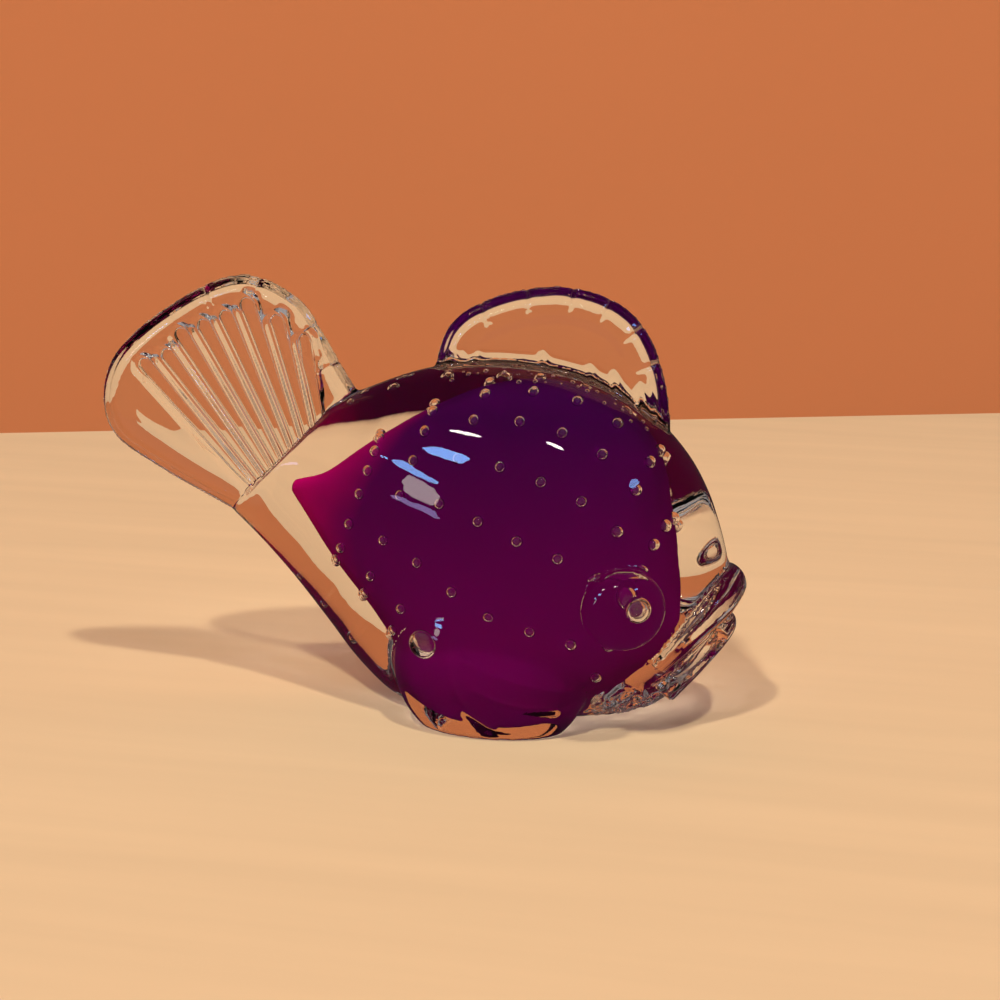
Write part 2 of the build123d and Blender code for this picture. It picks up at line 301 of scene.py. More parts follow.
class GlassSettings(bpy.types.PropertyGroup):
    """Colours and finish of the glass."""

    clear_tint: colour_setting("Clear tint", "Colour of the clear glass", (0.97, 0.975, 0.965, 1.0))
    shade_tint: colour_setting(
        "Shade tint",
        "Share of a lamp's light that one wall of clear glass lets through",
        (0.36, 0.37, 0.46, 1.0),
    )
    # Painted glow: the core's colour where it is thin, brighter magenta in place of light shining
    # through the thin glass
    core_edge_painted_glow: colour_setting("Core edge", "Colour of the core where it is thin", (0.52, 0.0, 0.12, 1.0))
    core_middle: colour_setting("Core middle", "Colour of the core low down", (0.175, 0.0, 0.105, 1.0))
    # Painted reflection: dark navy that the core turns to towards its top, in place of a bluish room
    # mirrored on the casing
    core_top_painted_reflection: colour_setting("Core top", "Colour of the core under the back", (0.045, 0.0, 0.055, 1.0))
    glass_ior: bpy.props.FloatProperty(
        name="Glass IOR", description="Refraction of the clear glass", default=1.5, min=1.3, max=1.8
    )
    ripple: length_setting(
        "Ripple", "Height of the slow ripple that hand tools leave in the surface", 0.16 * MM
    )


class ShapeSettings(bpy.types.PropertyGroup):
    """Sizes that a user would change."""

    melt_size: length_setting(
        "Melt size", "Size of the grid on which the clear pieces melt together", 0.42 * MM, 0.2 * MM
    )
    tail_rib_count: bpy.props.IntProperty(
        name="Tail ribs", description="Ribs pressed into the tail fan", default=9, min=3, max=30
    )
    bubble_radius: length_setting(
        "Bubble radius", "Radius of the air bubbles pricked into the core", 1.15 * MM, 0.1 * MM
    )


class StageSettings(bpy.types.PropertyGroup):
    """Floor, wall, lamps and camera."""

    floor_colour: colour_setting("Floor", "Colour of the pale floor", (0.82, 0.655, 0.448, 1.0))
    wall_colour: colour_setting("Wall", "Colour of the pale wall", (0.78, 0.33, 0.158, 1.0))
    lamp_strength: bpy.props.FloatProperty(
        name="Lamp strength", description="Power of each ceiling lamp, in watts", default=8.7, min=0.0
    )
    camera_azimuth: bpy.props.FloatProperty(
        name="Camera azimuth",
        description="Turn of the camera about the fish",
        default=radians(12.0),
        subtype="ANGLE",
    )
    camera_elevation: bpy.props.FloatProperty(
        name="Camera elevation",
        description="Height of the camera above the horizon",
        default=radians(15.0),
        subtype="ANGLE",
    )
    camera_distance: length_setting(
        "Camera distance", "From the camera to the point it looks at", 350.0 * MM, 0.1
    )


def place(shares, aside=0.0):
    """Point at shares of the length and the height, aside from the middle plane."""
    return Vector((shares[0] * FIGURE_LENGTH + CENTRING, aside, shares[1] * FIGURE_HEIGHT))


def smooth_between(rows, share):
    """Row at a share of the way along a table, on a smooth curve through its rows."""
    position = share * (len(rows) - 1)
    index = min(int(position), len(rows) - 2)
    step = position - index
    last = len(rows) - 1
    near = [rows[min(max(index + offset, 0), last)] for offset in (-1, 0, 1, 2)]
    return tuple(
        0.5 * (2 * b + (c - a) * step + (2 * a - 5 * b + 4 * c - d) * step**2)
        + 0.5 * (3 * b - a - 3 * c + d) * step**3
        for a, b, c, d in zip(*near)
    )


def station(row):
    """Centre, direction up the plane, half height and half width of one station."""
    foot, bottom_share, top_share, width_share = row
    bottom = place((foot + STATION_LEAN_SHARE * bottom_share, bottom_share))
    top = place((foot + STATION_LEAN_SHARE * top_share, top_share))
    rise = top - bottom
    return (top + bottom) / 2, rise.normalized(), rise.length / 2, width_share * BODY_WIDTH / 2


def laid(centre, *ways):
    """Matrix that lays the three axes along those ways from a centre."""
    matrix = Matrix(ways).transposed().to_4x4()
    matrix.translation = centre
    return matrix


def frame_at(centre, x_way, y_way, x_size=1.0, y_size=1.0):
    """Matrix that lays a unit circle of the XY plane on a centre, with its own sizes along x and y."""
    return laid(centre, x_way * x_size, y_way * y_size, x_way.cross(y_way))


def oval_at(row):
    """Matrix that lays a unit circle on one station's outline, its z pointing forwards."""
    centre, up, half_height, half_width = station(row)
    return frame_at(centre, SIDE, up, half_width, half_height)


def egg(point):
    """Point of a rim's section for one of the unit circle, its outer end kept in place."""
    if point.y <= 0.0:
        return Vector((point.x, point.y * RIM_INNER_SHARE + 1.0 - RIM_OUTER_SHARE, 0.0))
    across = abs(point.x) ** RIM_TAPER_POWER
    return Vector((across if point.x > 0 else -across, 1.0 - RIM_OUTER_SHARE * (1.0 - point.y), 0.0))


def full_below(point):
    """Point of the core's section for one of the unit circle, its lower half full and flat below."""
    if point.y >= 0.0:
        return point
    step = atan2(-point.y, abs(point.x)) / (pi / 2)
    rest = 1.0 - step
    middle = 3 * rest * step
    across = rest**3 + middle * rest + middle * step * CORE_BELLY_SHARE
    down = middle * rest * CORE_BELLY_SHARE + middle * step + step**3
    return Vector((across if point.x > 0 else -across, -down, 0.0))


def in_lobe(point):
    """True for a point inside a lobe of the core, or close to its face."""
    centre = place(CORE_LOBE_CENTRE_SHARES)
    arm = Vector((point.x - centre.x, abs(point.y) - CORE_LOBE_SPREAD, point.z - centre.z))
    shares = [part / reach for part, reach in zip(arm, CORE_LOBE_REACH)]
    return sum(share**2 for share in shares) < CORE_LOBE_MARGIN


def of_kind(items, kind):
    """Those of some mixed items that are of one kind."""
    return [item for item in items if isinstance(item, kind)]


def loft(bm, sections, segments, shape=Vector):
    """Closed body through the sections, each a matrix that lays the unit circle on its outline. The
    circle can be given another shape first."""
    made = bmesh.ops.create_circle(bm, cap_ends=True, segments=segments, radius=1.0)
    for vert in made["verts"]:
        vert.co = shape(vert.co)
    bmesh.ops.transform(bm, matrix=sections[0], verts=made["verts"])
    edges = list({edge for vert in made["verts"] for edge in vert.link_edges})
    for before, after in zip(sections, sections[1:]):
        grown = bmesh.ops.extrude_edge_only(bm, edges=edges)["geom"]
        verts = of_kind(grown, bmesh.types.BMVert)
        bmesh.ops.transform(bm, matrix=after @ before.inverted(), verts=verts)
        fresh = set(verts)
        edges = [edge for edge in of_kind(grown, bmesh.types.BMEdge) if fresh.issuperset(edge.verts)]
    bmesh.ops.contextual_create(bm, geom=edges)


def linked(name, data):
    """New object of the scene that shows that data."""
    made = bpy.data.objects.new(name, data)
    bpy.context.scene.collection.objects.link(made)
    return made


def mesh_of(bm, name):
    """Mesh made of the blank, which is freed."""
    mesh = bpy.data.meshes.new(name)
    bm.to_mesh(mesh)
    bm.free()
    return mesh


def finished(bm, name):
    """Object of the finished blank, with its faces outwards."""
    bmesh.ops.recalc_face_normals(bm, faces=bm.faces)
    return linked(name, mesh_of(bm, name))


def add_remesh(made, name, size):
    """Modifier that melts an object together on a grid of that size."""
    remesh = made.modifiers.new(name, "REMESH")
    remesh.mode = "VOXEL"
    remesh.voxel_size = size


def add_smoothing(made, name, rounds, group=""):
    """Modifier that smooths an object, or the part of it that the vertex group names."""
    smooth = made.modifiers.new(name, "SMOOTH")
    smooth.factor = SMOOTHING_FACTOR
    smooth.iterations = rounds
    smooth.vertex_group = group


def applied(made, *others):
    """Mesh of an object with its modifiers applied. It and the other objects are removed."""
    depsgraph = bpy.context.evaluated_depsgraph_get()
    mesh = bpy.data.meshes.new_from_object(made.evaluated_get(depsgraph))
    for item in (made, *others):
        bpy.data.objects.remove(item)
    return mesh


def cut_flat(bm, point, outward):
    """Cuts off what lies outward of a plane and closes the cut. Returns the edges round it."""
    geom = bm.verts[:] + bm.edges[:] + bm.faces[:]
    cut = bmesh.ops.bisect_plane(bm, geom=geom, plane_co=point, plane_no=outward, clear_outer=True)
    edges = of_kind(cut["geom_cut"], bmesh.types.BMEdge)
    bmesh.ops.holes_fill(bm, edges=edges, sides=0)
    return edges


def cut_below(bm):
    """Grinds the blank flat at the ground."""
    cut_flat(bm, (0, 0, 0), -UP)


def smooth_rows(rows, steps):
    """Rows at that many even steps along a smooth curve through a table."""
    return [smooth_between(rows, step / steps) for step in range(steps + 1)]


def body_blank(stations, shape=Vector):
    """Closed body through a table of stations, in rings close enough together to look smooth."""
    bm = bmesh.new()
    loft(bm, [oval_at(row) for row in smooth_rows(stations, BODY_RINGS)], BODY_SEGMENTS, shape)
    return bm


def casing_blank():
    """Clear body from the tail joint to the mouth, its shoulder at the tail rounded."""
    bm = body_blank(CASING_STATION_SHARES)
    belly, back = [place(pair) for pair in TAIL_JOINT_SHARES]
    ahead = SIDE.cross((back - belly).normalized())
    bmesh.ops.bevel(
        bm,
        geom=cut_flat(bm, belly, -ahead),
        offset=SHOULDER_ROUND,
        segments=SHOULDER_SEGMENTS,
        profile=0.5,
        affect="EDGES",
        material=-1,
        clamp_overlap=True,
    )
    cut_below(bm)
    return bm


def rim_line(shares):
    """Points along the middle line of a fin's rim."""
    return [place(row) for row in smooth_rows(shares, RIM_RINGS)]


def ways_along(points):
    """Direction of a line at each of its points."""
    ends = zip([points[0]] + points[:-1], points[1:] + [points[-1]])
    return [(after - before).normalized() for before, after in ends]


def fin_blank(shares, rim_radius, web_thickness, outward):
    """Flat web inside a rim that tapers to its outer edge, outward telling on which side that is."""
    bm = bmesh.new()
    line = rim_line(shares)
    sections = [
        frame_at(point, SIDE, way.cross(SIDE) * outward, rim_radius, rim_radius)
        for point, way in zip(line, ways_along(line))
    ]
    loft(bm, sections, RIM_SEGMENTS, egg)
    verts = [bm.verts.new(point - SIDE * (web_thickness / 2)) for point in line]
    web = bm.faces.new(verts)
    grown = bmesh.ops.extrude_face_region(bm, geom=[web], use_keep_orig=True)["geom"]
    bmesh.ops.translate(bm, verts=of_kind(grown, bmesh.types.BMVert), vec=SIDE * web_thickness)
    return bm


def crossing(line, start, way):
    """Point of a line of the middle plane that a ray meets last."""
    across = way.cross(SIDE)
    found = start
    for before, after in zip(line, line[1:]):
        low, high = (before - start).dot(across), (after - start).dot(across)
        if low * high <= 0.0 and (before - start).dot(way) > 0.0:
            found = before.lerp(after, low / (low - high))
    return found


def ball(bm, matrix, grid, radius=1.0):
    """Sphere laid by a matrix, with that many segments round and up."""
    bmesh.ops.create_uvsphere(bm, u_segments=grid[0], v_segments=grid[1], radius=radius, matrix=matrix)


def cushion(bm, centre, reach, lean_deg=0.0):
    """Ellipsoid at a centre, its half sizes along its own x, y and z, leaning back about y."""
    matrix = Matrix.Translation(centre) @ Matrix.Rotation(-radians(lean_deg), 4, "Y")
    ball(bm, matrix @ Matrix.Diagonal((*reach, 1.0)), CUSHION_GRID)


def flank(casing, shares, side):
    """Point of one flank of the casing at shares of the length and the height, and the way out of it."""
    tree = tree_of(casing)
    point, normal = tree.ray_cast(place(shares, side * BODY_WIDTH), SIDE * -side)[:2]
    return point, normal


def tree_of(made):
    """Search tree of an object's mesh."""
    bm = bmesh.new()
    bm.from_mesh(made.data)
    tree = BVHTree.FromBMesh(bm)
    bm.free()
    return tree


def flattened(centre, out, radius, height):
    """Matrix that lays a unit sphere on a centre as a round cushion that faces out."""
    across = UP.cross(out).normalized()
    return laid(centre, across * radius, out.cross(across) * radius, out * height)


def lip_blank(shares, half_width, middle_radius):
    """Round band of glass from cheek to cheek round the tip of the mouth, fullest at the tip."""
    cheek, tip = [place(pair) for pair in shares]
    reach = tip - cheek
    across = reach.cross(SIDE).normalized()
    sections = []
    for ring in range(LIP_RINGS + 1):
        angle = pi * ring / LIP_RINGS
        point = cheek + reach * sin(angle) + SIDE * (half_width * cos(angle))
        way = (reach * cos(angle) - SIDE * (half_width * sin(angle))).normalized()
        radius = LIP_CHEEK_RADIUS + (middle_radius - LIP_CHEEK_RADIUS) * sin(angle) ** 2
        sections.append(frame_at(point, across, way.cross(across), radius, radius))
    bm = bmesh.new()
    loft(bm, sections, LIP_SEGMENTS)
    return bm


def slit_cutter():
    """What the slit of the mouth takes off: its tip and its end in each cheek."""
    bm = bmesh.new()
    for shares, spread, reach in SLIT_ENDS:
        cushion(bm, place(shares, spread), reach, SLIT_LEAN_DEG)
    return finished(bm, "slit")


def melt(blanks, size):
    """One skin round all the blanks, melted together on a grid of that size, with the mouth slit."""
    bm = bmesh.new()
    for blank in blanks:
        bm.from_mesh(blank.data)
    whole = finished(bm, "melting")
    cutter = slit_cutter()
    add_remesh(whole, "melt", size)
    slit = whole.modifiers.new("slit", "BOOLEAN")
    slit.operation = "DIFFERENCE"
    slit.solver = "MANIFOLD"
    slit.object = cutter
    add_remesh(whole, "soften", size)
    return applied(whole, cutter)


def share_out(skin, blanks):
    """Gives each face of the skin to its nearest blank, and each point its way to the next blank."""
    trees = [tree_of(blank) for blank in blanks]
    owners = []
    weld = skin.attributes.new("weld", "FLOAT", "POINT")
    for vert in skin.vertices:
        ways = [(tree.find_nearest(vert.co, WELD_REACH)[3], number) for number, tree in enumerate(trees)]
        found = sorted(way for way in ways if way[0] is not None)
        owners.append(found[0][1])
        weld.data[vert.index].value = found[1][0] if len(found) > 1 else WELD_REACH
    owner = skin.attributes.new("owner", "INT", "FACE")
    for polygon in skin.polygons:
        votes = [owners[index] for index in polygon.vertices]
        owner.data[polygon.index].value = max(votes, key=votes.count)
    return owners


def smoothed(skin, owners):
    """The skin with the marks of the grid smoothed away, most of all on its broad round parts."""
    made = linked("smoothing", skin)
    group = made.vertex_groups.new(name="broad")
    weld = skin.attributes["weld"].data
    for index, owner in enumerate(owners):
        weight = min(1.0, max(0.0, weld[index].value / BROAD_BAND - BROAD_START))
        weight *= BROAD_WEIGHTS[owner]
        if weight > 0.0:
            group.add((index,), weight, "REPLACE")
    add_smoothing(made, "fine", FINE_SMOOTHING)
    add_smoothing(made, "broad", BROAD_SMOOTHING, "broad")
    return applied(made)


def tidy_owners(bm, layer):
    """Evens out the borders between the pieces' faces."""
    for _ in range(BORDER_ROUNDS):
        changes = []
        for face in bm.faces:
            beside = [other for edge in face.edges for other in edge.link_faces]
            near = [other[layer] for other in beside if other is not face]
            most = max(near, key=near.count)
            if most != face[layer] and near.count(most) > near.count(face[layer]):
                changes.append((face, most))
        for face, owner in changes:
            face[layer] = owner


def ease(value):
    """Smooth step from 0 to 1 as the value goes from 0 to 1."""
    value = min(1.0, max(0.0, value))
    return value * value * (3.0 - 2.0 * value)


def bell(away, width):
    """Round hump, 1 high at its middle."""
    return exp(-((away / width) ** 2))


class TailMarks:
    """Lanes pressed between the ribs of the tail, and crimps across its rim."""

    def __init__(self, rib_count):
        line = rim_line(TAIL_RIM_SHARES)
        self.focus = place(TAIL_FOCUS_SHARES)
        self.step = (TAIL_RIB_FIRST_DEG - TAIL_RIB_LAST_DEG) / (rib_count - 1)
        self.first = TAIL_RIB_FIRST_DEG - self.step / 2
        self.ends = []
        for number in range(rib_count):
            angle = radians(self.first - self.step * number)
            way = Vector((cos(angle), 0.0, sin(angle)))
            reach = (crossing(line, self.focus, way) - self.focus).length
            uneven = TAIL_LANE_UNEVEN * sin(number * TAIL_LANE_TURN)
            self.ends.append(reach - TAIL_LANE_END + uneven)
        self.crimps = crimps_on(line, TAIL_CRIMP_SHARES)

    def thinning(self, point):
        """How far the face of the fan is pressed in at a point."""
        arm = point - self.focus
        reach = hypot(arm.x, arm.z)
        phase = (self.first - degrees(atan2(arm.z, arm.x))) / self.step
        number = min(max(round(phase), 0), len(self.ends) - 1)
        away = abs(phase - number)
        round_end = TAIL_LANE_ROUND * (away * 2.0) ** 2
        fade = ease((reach - TAIL_RIB_ROOT_REACH) / TAIL_LANE_FADE)
        fade *= ease((self.ends[number] - round_end - reach) / TAIL_LANE_FADE)
        return TAIL_LANE_DEPTH * ease((0.5 - away) / TAIL_LANE_SLOPE_SHARE) * fade


def groove_depth(point, lines):
    """Depth of the grooves of a side fin at a point."""
    flat = Vector((point.x, 0.0, point.z))
    nearest = min(
        (flat - step_towards(flat, start, end)).length
        for line in lines
        for start, end in zip(line, line[1:])
    )
    return SIDE_GROOVE_DEPTH * bell(nearest, SIDE_GROOVE_WIDTH)


def step_towards(point, start, end):
    """Point of a straight stretch that lies nearest to a point."""
    way = end - start
    share = min(1.0, max(0.0, (point - start).dot(way) / way.length_squared))
    return start + way * share


def crimps_on(line, shares):
    """Point and direction of a rim where crimps are pressed across it."""
    ways = ways_along(line)
    return [(line[round(share * RIM_RINGS)], ways[round(share * RIM_RINGS)]) for share in shares]


def crimp_depth(point, crimps):
    """Depth of the crimps of a rim at a point."""
    depth = 0.0
    for middle, way in crimps:
        fade = ease((CRIMP_REACH - (point - middle).length) / CRIMP_FADE)
        depth = max(depth, CRIMP_DEPTH * fade * bell((point - middle).dot(way), CRIMP_WIDTH))
    return depth


class BackMarks:
    """Upright folds in the back fin, its flare on to the body, and the crimps across its rim."""

    def __init__(self, casing_tree):
        self.tree = casing_tree
        self.crimps = crimps_on(rim_line(BACK_RIM_SHARES), BACK_CRIMP_SHARES)
        first, last = [place(pair) for pair in BACK_FOLD_FOOT_SHARES]
        lean = radians(BACK_FOLD_LEAN_DEG)
        self.way = Vector((cos(lean), 0.0, sin(lean)))
        count = len(BACK_FOLD_HEIGHT_SHARES)
        self.feet = [first.lerp(last, number / (count - 1)) for number in range(count)]

    def thinning(self, point):
        """How far the face of the fin is pressed in at a point, less than 0 where it stands out."""
        flat = Vector((point.x, 0.0, point.z))
        rise = 0.0
        for foot, share in zip(self.feet, BACK_FOLD_HEIGHT_SHARES):
            arm = flat - foot
            along = arm.dot(self.way)
            height = BACK_FOLD_HEIGHT * share
            width = BACK_FOLD_WIDTH * (BACK_FOLD_FOOT_GAIN - along / height)
            if along < height and width > 0.0:
                fold = BACK_FOLD_RISE * bell((arm - self.way * along).length, width)
                rise = max(rise, fold * ease((height - along) / height * BACK_FOLD_FADE))
        above = self.tree.find_nearest(flat)[3]
        return -rise - BACK_FLARE * exp(-above / BACK_FLARE_REACH)


def press_marks(bm, owner, weld, rib_count, casing_tree):
    """Presses the marks of the hand tools into the melted skin."""
    tail, back = TailMarks(rib_count), BackMarks(casing_tree)
    grooves = [[place(pair) for pair in shares] for shares in SIDE_GROOVE_SHARES]
    fins = [face for face in bm.faces if face[owner] in (TAIL, BACK)]
    edges = list({edge for face in fins for edge in face.edges})
    bmesh.ops.subdivide_edges(bm, edges=edges, cuts=1, use_grid_fill=True, smooth=0.0)
    bm.normal_update()
    for vert in bm.verts:
        number = vert.link_faces[0][owner]
        if number in (TAIL, BACK):
            marks = tail if number == TAIL else back
            facing = ease(abs(vert.normal.y) * FACING_GAIN - FACING_START)
            side = 1.0 if vert.co.y > 0 else -1.0
            press = marks.thinning(vert.co) * facing
            vert.co -= vert.normal * crimp_depth(vert.co, marks.crimps)
            vert.co.y -= side * min(press, abs(vert.co.y) - LEAST_HALF_WEB)
        elif number in SIDES:
            vert.co -= vert.normal * groove_depth(vert.co, grooves)
        elif number in GROOVED:
            vert.co -= vert.normal * (WELD_DEPTH * bell(vert[weld], WELD_WIDTH))
        chin = chin_share(vert.co)
        if chin > 0.0:
            crease = abs(noise.noise(vert.co / CHIN_SCALE)) * CHIN_CREASE_GAIN - CHIN_CREASE_LEVEL
            vert.co -= vert.normal * (CHIN_DEPTH * crease * chin)
    for vert in bm.verts:
        vert.co.z = max(vert.co.z, 0.0)
    bm.normal_update()


def chin_share(point):
    """How strongly the glass is wrinkled at a point: most under the lower lip, none away from it."""
    arm = point - place(CHIN_PLACE_SHARES)
    return ease(CHIN_FADE - hypot(arm.x / CHIN_LENGTH, arm.z / CHIN_HEIGHT) * CHIN_FADE)


def part_skin(bm, blanks, glass, weld_finish):
    """Parts the skin into the pieces, each closed by a weld face that light crosses unbroken."""
    normals = bm.verts.layers.float_vector.new("skin_normal")
    for vert in bm.verts:
        vert[normals] = vert.normal
    for number, blank in enumerate(blanks):
        part = bm.copy()
        owner = part.faces.layers.int["owner"]
        others = [face for face in part.faces if face[owner] != number]
        bmesh.ops.delete(part, geom=others, context="FACES")
        for face in part.faces:
            face.smooth = True
        edges = [edge for edge in part.edges if edge.is_boundary]
        caps = bmesh.ops.holes_fill(part, edges=edges, sides=0)["faces"]
        caps = bmesh.ops.triangulate(part, faces=caps)["faces"]
        for face in caps:
            face.material_index = 1
            face.smooth = False
        mesh = mesh_of(part, blank.name)
        mesh.materials.append(glass)
        mesh.materials.append(weld_finish)
        keep_normals(mesh)
        old = blank.data
        blank.data = mesh
        bpy.data.meshes.remove(old)


def keep_normals(mesh):
    """Shades each piece with the normals of the whole skin, so that no seam shows at a weld."""
    layer = mesh.attributes["skin_normal"].data
    custom = []
    for polygon in mesh.polygons:
        for index in polygon.vertices:
            normal = polygon.normal if polygon.material_index else layer[index].vector
            custom.append(normal.copy())
    mesh.normals_split_custom_set(custom)
    for name in ("skin_normal", "owner", "weld"):
        mesh.attributes.remove(mesh.attributes[name])


def feed(node, socket, value):
    """Sets an input of a node, or links it where the value is another node and its output."""
    if isinstance(value, tuple) and isinstance(value[0], bpy.types.Node):
        node.id_data.links.new(value[0].outputs[value[1]], node.inputs[socket])
    else:
        node.inputs[socket].default_value = value


def node_maker(tree):
    """Function that adds a node to a tree and feeds its inputs, the first ones in order and others by
    name."""

    def add(kind, *values, operation=None, **named):
        node = tree.nodes.new("ShaderNode" + kind)
        if operation:
            node.operation = operation
        for number, value in enumerate(values):
            feed(node, number, value)
        for name, value in named.items():
            feed(node, name.replace("_", " "), value)
        return node

    return add


def fresh_material(name):
    """Empty node material, and a function that adds a node to it."""
    material = bpy.data.materials.new(name)
    material.use_nodes = True
    material.node_tree.nodes.clear()
    return material, node_maker(material.node_tree)


def colour_mix(add, share, first, second):
    """Node that mixes two colours."""
    mix = add("Mix")
    mix.data_type = "RGBA"
    for socket, value in ((0, share), (6, first), (7, second)):
        feed(mix, socket, value)
    return mix


def end_clear(add, surface, kind, where, tint=CLEAR):
    """Ends a material in its surface, or in a clear tint where an output of that kind of node says."""
    clear = add("BsdfTransparent", tint)
    mix = add("MixShader", (add(kind), where), (surface, 0), (clear, 0))
    add("OutputMaterial", (mix, 0))


def clear_glass(settings):
    """Fire polished clear glass with a slow ripple in its surface."""
    material, add = fresh_material("clear_glass")
    slow = add("TexNoise", (add("TexCoord"), "Object"), **RIPPLE)
    bump = add("Bump", Strength=1.0, Distance=settings.ripple, Height=(slow, "Fac"))
    glass = add(
        "BsdfPrincipled",
        settings.clear_tint,
        Roughness=0.0,
        IOR=settings.glass_ior,
        Transmission_Weight=1.0,
        Normal=(bump, "Normal"),
    )
    end_clear(add, glass, "LightPath", "Is Shadow Ray", settings.shade_tint)
    return material


def weld_material():
    """The inside of the glass where two pieces melted together: light crosses it unbroken."""
    material, add = fresh_material("weld")
    add("OutputMaterial", (add("BsdfTransparent", CLEAR), 0))
    return material


def amethyst_material(settings):
    """Deep purple glass, with a painted glow that makes it brighter where it is thin, and a painted navy
    reflection that makes it darker under the back.
    """
    material, add = fresh_material("amethyst")
    where = add("TexCoord")
    split = add("SeparateXYZ", (where, "Object"))
    cloud = add("TexNoise", (where, "Object"), **CORE_CLOUD)
    # Painted glow: the thinner the core is across, the nearer its colour comes to the bright edge colour
    away = add("Math", (split, "Y"), operation="ABSOLUTE")
    warp = add("Math", (cloud, "Fac"), CORE_CLOUD_SHIFT, (away, 0), operation="MULTIPLY_ADD")
    behind = add("Math", (split, "X"), *CORE_GLOW_TIP_SHIFT, operation="MULTIPLY_ADD")
    inner = add("Math", (warp, 0), (behind, 0), operation="ADD")
    thin = add("MapRange", (inner, 0), *CORE_GLOW_THICKNESS)
    # Painted reflection: the colour goes from the low one to dark navy as the core rises
    high = add("MapRange", (split, "Z"), *CORE_REFLECTION_HEIGHT)
    deep = colour_mix(add, (high, 0), settings.core_middle, settings.core_top_painted_reflection)
    edge = colour_mix(add, (thin, 0), settings.core_edge_painted_glow, (deep, 2))
    glass = add("BsdfPrincipled", (edge, 2), Roughness=CORE_ROUGHNESS, Specular_IOR_Level=0.0)
    add("OutputMaterial", (glass, 0))
    return material


def air_material(settings):
    """Inside of an air bubble in the glass: refraction the other way round."""
    material, add = fresh_material("air")
    glass = add("BsdfGlass", Roughness=0.0, IOR=1.0 / settings.glass_ior)
    end_clear(add, glass, "LightPath", "Is Shadow Ray")
    return material


def plain_material(name, colour, grain, one_sided=False):
    """Matt surface with a faint cloud in its colour, the grain giving its scale and its strength. One
    that is one sided isn't seen from behind."""
    scale, share = grain
    material, add = fresh_material(name)
    stretch = add("Mapping", (add("TexCoord"), "Object"), Scale=scale)
    cloud = add("TexNoise", (stretch, 0), Scale=1.0, Detail=GRAIN_DETAIL)
    shade = add("MapRange", (cloud, "Fac"), To_Min=1.0 - share, To_Max=1.0 + share)
    tone = add("VectorMath", colour[:3], Scale=(shade, 0), operation="SCALE")
    surface = add("BsdfDiffuse", (tone, 0), Roughness=MATT_ROUGHNESS)
    if one_sided:
        end_clear(add, surface, "NewGeometry", "Backfacing")
    else:
        add("OutputMaterial", (surface, 0))
    return material


def blank_named(name):
    """A blank made by another operator."""
    if name not in bpy.data.objects:
        raise RuntimeError(f"make {name} first")
    return bpy.data.objects[name]


HANDS = ((1, "left"), (-1, "right"))

# Node that each clear piece stands for and is named after, and its material slot
CLEAR_PIECES = (
    ("casing", "clear_glass"),
    ("tail_fin", "fin_glass"),
    ("dorsal_fin", "fin_glass"),
    ("pectoral_fin_left", "fin_glass"),
    ("pectoral_fin_right", "fin_glass"),
    ("eye_left", "eye_glass"),
    ("eye_right", "eye_glass"),
    ("upper_lip", "lip_glass"),
    ("lower_lip", "lip_glass"),
)

# Places in that table of the tail fin, the back fin, the side fins, and the pieces with a groove
# along their weld
TAIL, BACK = 1, 2
SIDES = (3, 4)
GROOVED = (5, 6, 7, 8)

# Share of the broad smoothing that each piece of the table takes
BROAD_WEIGHTS = (1.0, 0.5, 0.3, 1.0, 1.0, 1.0, 1.0, 0.3, 0.3)


class GLASSFISH_OT_casing(bpy.types.Operator):
    """Model the clear body"""

    bl_idname = "glass_fish.casing"
    bl_label = "Casing"

    def execute(self, context):
        finished(casing_blank(), "casing_glass")
        return {"FINISHED"}


class GLASSFISH_OT_tail_fin(bpy.types.Operator):
    """Model the ribbed tail fan"""

    bl_idname = "glass_fish.tail_fin"
    bl_label = "Tail fin"

    def execute(self, context):
        bm = fin_blank(TAIL_RIM_SHARES, TAIL_RIM_RADIUS, TAIL_WEB_THICKNESS, -1)
        finished(bm, "tail_fin_glass")
        return {"FINISHED"}


class GLASSFISH_OT_dorsal_fin(bpy.types.Operator):
    """Model the crest of the back"""

    bl_idname = "glass_fish.dorsal_fin"
    bl_label = "Dorsal fin"

    def execute(self, context):
        bm = fin_blank(BACK_RIM_SHARES, BACK_RIM_RADIUS, BACK_WEB_THICKNESS, 1)
        finished(bm, "dorsal_fin_glass")
        return {"FINISHED"}


class GLASSFISH_OT_side_fins(bpy.types.Operator):
    """Model the grooved cushions pressed against both flanks"""

    bl_idname = "glass_fish.side_fins"
    bl_label = "Side fins"

    def execute(self, context):
        for side, word in HANDS:
            bm = bmesh.new()
            cushion(bm, place(SIDE_FIN_CENTRE_SHARES, side * SIDE_FIN_SPREAD), SIDE_FIN_REACH)
            cut_below(bm)
            finished(bm, f"pectoral_fin_{word}_glass")
        return {"FINISHED"}


class GLASSFISH_OT_eyes(bpy.types.Operator):
    """Model the domed eyes on the casing"""

    bl_idname = "glass_fish.eyes"
    bl_label = "Eyes"

    def execute(self, context):
        casing = blank_named("casing_glass")
        for side, word in HANDS:
            seat, out = flank(casing, EYE_PLACE_SHARES, side)
            bm = bmesh.new()
            ball(bm, flattened(seat + out * EYE_LIFT, out, EYE_RADIUS, EYE_FULLNESS), CUSHION_GRID)
            finished(bm, f"eye_{word}_glass")
        return {"FINISHED"}


class GLASSFISH_OT_lips(bpy.types.Operator):
    """Model the two lips"""

    bl_idname = "glass_fish.lips"
    bl_label = "Lips"

    def execute(self, context):
        finished(lip_blank(*UPPER_LIP), "upper_lip_glass")
        finished(lip_blank(*LOWER_LIP), "lower_lip_glass")
        return {"FINISHED"}


